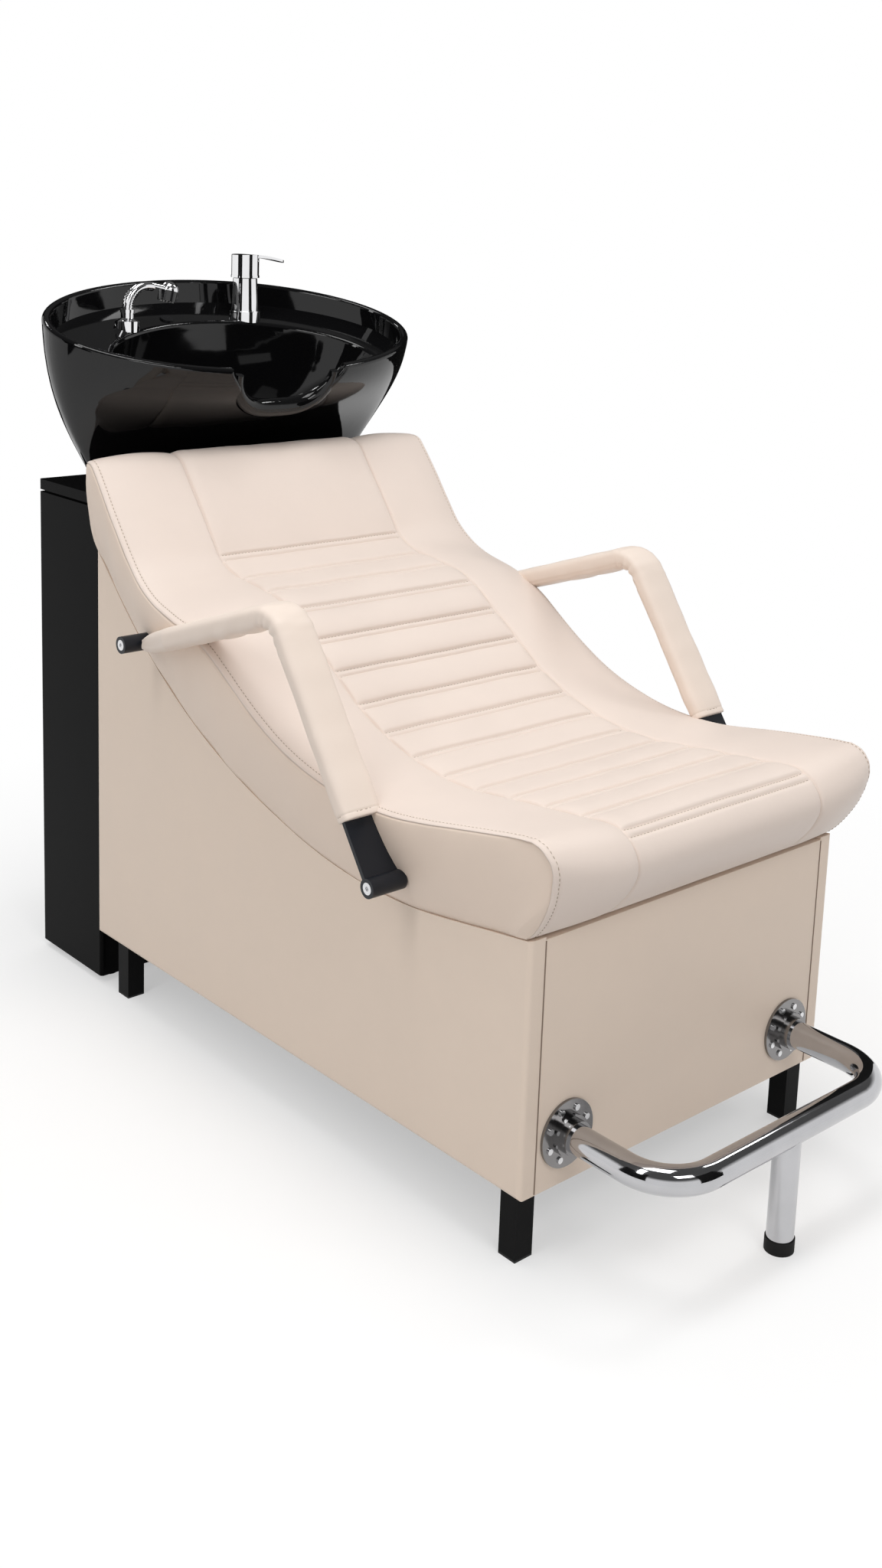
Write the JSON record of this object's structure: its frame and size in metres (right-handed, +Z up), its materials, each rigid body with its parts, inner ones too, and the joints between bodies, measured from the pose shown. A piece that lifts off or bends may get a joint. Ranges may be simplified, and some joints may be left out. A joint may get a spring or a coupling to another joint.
{
  "type": "backwash unit",
  "caption": "Reclining channelled shampoo seat with side armrests and a chrome foot bar, in front of a column that carries a tilting black ceramic basin.",
  "frame": {"origin": "floor level, at the middle of the unit's footprint box", "axes": "+Z up, +Y from the foot bar towards the basin column, +X towards the tap side, which is the sitter's left hand"},
  "size_m": [0.758, 1.4215, 1.1973],
  "materials": {
    "cream_leather": "soft matte upholstery leather",
    "sleeve_leather": "soft matte upholstery leather, sewn as a sleeve",
    "panel_leather": "the same leather, drawn flat over the box's panels",
    "base_laminate": "satin black laminate",
    "rib_wood": "raw plywood",
    "frame_steel": "satin black powder coat",
    "black_metal": "semi-gloss black",
    "bolt_steel": "bright zinc",
    "bar_chrome": "polished chrome",
    "dark_chrome": "smoked chrome",
    "column_laminate": "satin black laminate",
    "foot_rubber": "black",
    "glide_plastic": "black",
    "shroud_plastic": "gloss black",
    "basin_ceramic": "black glaze",
    "tap_chrome": "polished chrome",
    "inner_brass": "machined",
    "waste_steel": "polished steel",
    "pipe_plastic": "pale grey pipe plastic",
    "handset_black": "gloss black",
    "nozzle_silicone": "white silicone"
  },
  "bodies": {
    "unit": {"seat_cushion": "cream_leather", "seat_rib_left": "rib_wood", "seat_rib_right": "rib_wood", "side_panel_left": "panel_leather", "side_panel_right": "panel_leather", "armrest_frame_left": "frame_steel", "armrest_frame_right": "frame_steel", "armrest_sleeve_left": "sleeve_leather", "armrest_sleeve_right": "sleeve_leather", "foot_flange_left": "dark_chrome", "foot_flange_right": "dark_chrome", "water_inlet_left": "inner_brass", "water_inlet_right": "inner_brass", "armrest_bolts": "bolt_steel", "front_panel": "panel_leather", "rear_panel": "panel_leather", "seat_board": "rib_wood", "cross_rails": "rib_wood", "base_board": "base_laminate", "leg_front_left": "black_metal", "leg_front_right": "black_metal", "leg_rear_left": "black_metal", "leg_rear_right": "black_metal", "leg_glides": "glide_plastic", "foot_bar": "bar_chrome", "flange_screws": "bolt_steel", "foot_bar_leg": "bar_chrome", "foot_leg_cap": "foot_rubber", "column_body": "column_laminate", "column_top_plate": "column_laminate", "column_feet": "foot_rubber", "service_panel": "column_laminate", "service_screws": "bolt_steel", "drain_spigot": "pipe_plastic", "neck_shroud": "shroud_plastic", "hinge_base": "black_metal", "hinge_screws": "bolt_steel", "hinge_pin": "bolt_steel"},
    "basin_assembly": {"basin": "basin_ceramic", "basin_bowl": "basin_ceramic", "basin_bracket": "black_metal", "bracket_screws": "bolt_steel", "drain_fitting": "waste_steel", "waste_nut": "pipe_plastic", "hole_cap": "shroud_plastic", "tap_body": "tap_chrome", "tap_nut": "inner_brass", "shower_socket": "tap_chrome", "socket_nut": "inner_brass"},
    "tap_hub": {"tap_cartridge": "inner_brass", "tap_pivot_pin": "bolt_steel"},
    "tap_lever": {"tap_handle": "tap_chrome"},
    "handset": {"handset_handle": "tap_chrome", "handset_head": "handset_black", "handset_nozzles": "nozzle_silicone"},
    "strainer": {"drain_strainer": "waste_steel"}
  },
  "joints": [
    {"name": "basin_tilt", "type": "hinge", "parent": "unit", "child": "basin_assembly", "pos_m": [0, 0.611, 0.852], "axis": [1, 0, 0], "range_deg": [-8, 6]},
    {"name": "tap_swivel", "type": "hinge", "parent": "basin_assembly", "child": "tap_hub", "pos_m": [0.088, 0.636, 1.1513], "axis": [0, 0, 1], "range_deg": [-50, 50]},
    {"name": "tap_lift", "type": "hinge", "parent": "tap_hub", "child": "tap_lever", "pos_m": [0.088, 0.636, 1.1513], "axis": [0, -1, 0], "range_deg": [0, 20]},
    {"name": "handset_lift", "type": "slide", "parent": "basin_assembly", "child": "handset", "axis": [0, 0, 1], "range_m": [0, 0.3]},
    {"name": "strainer_lift", "type": "slide", "parent": "basin_assembly", "child": "strainer", "axis": [0, 0, 1], "range_m": [0, 0.03]}
  ]
}
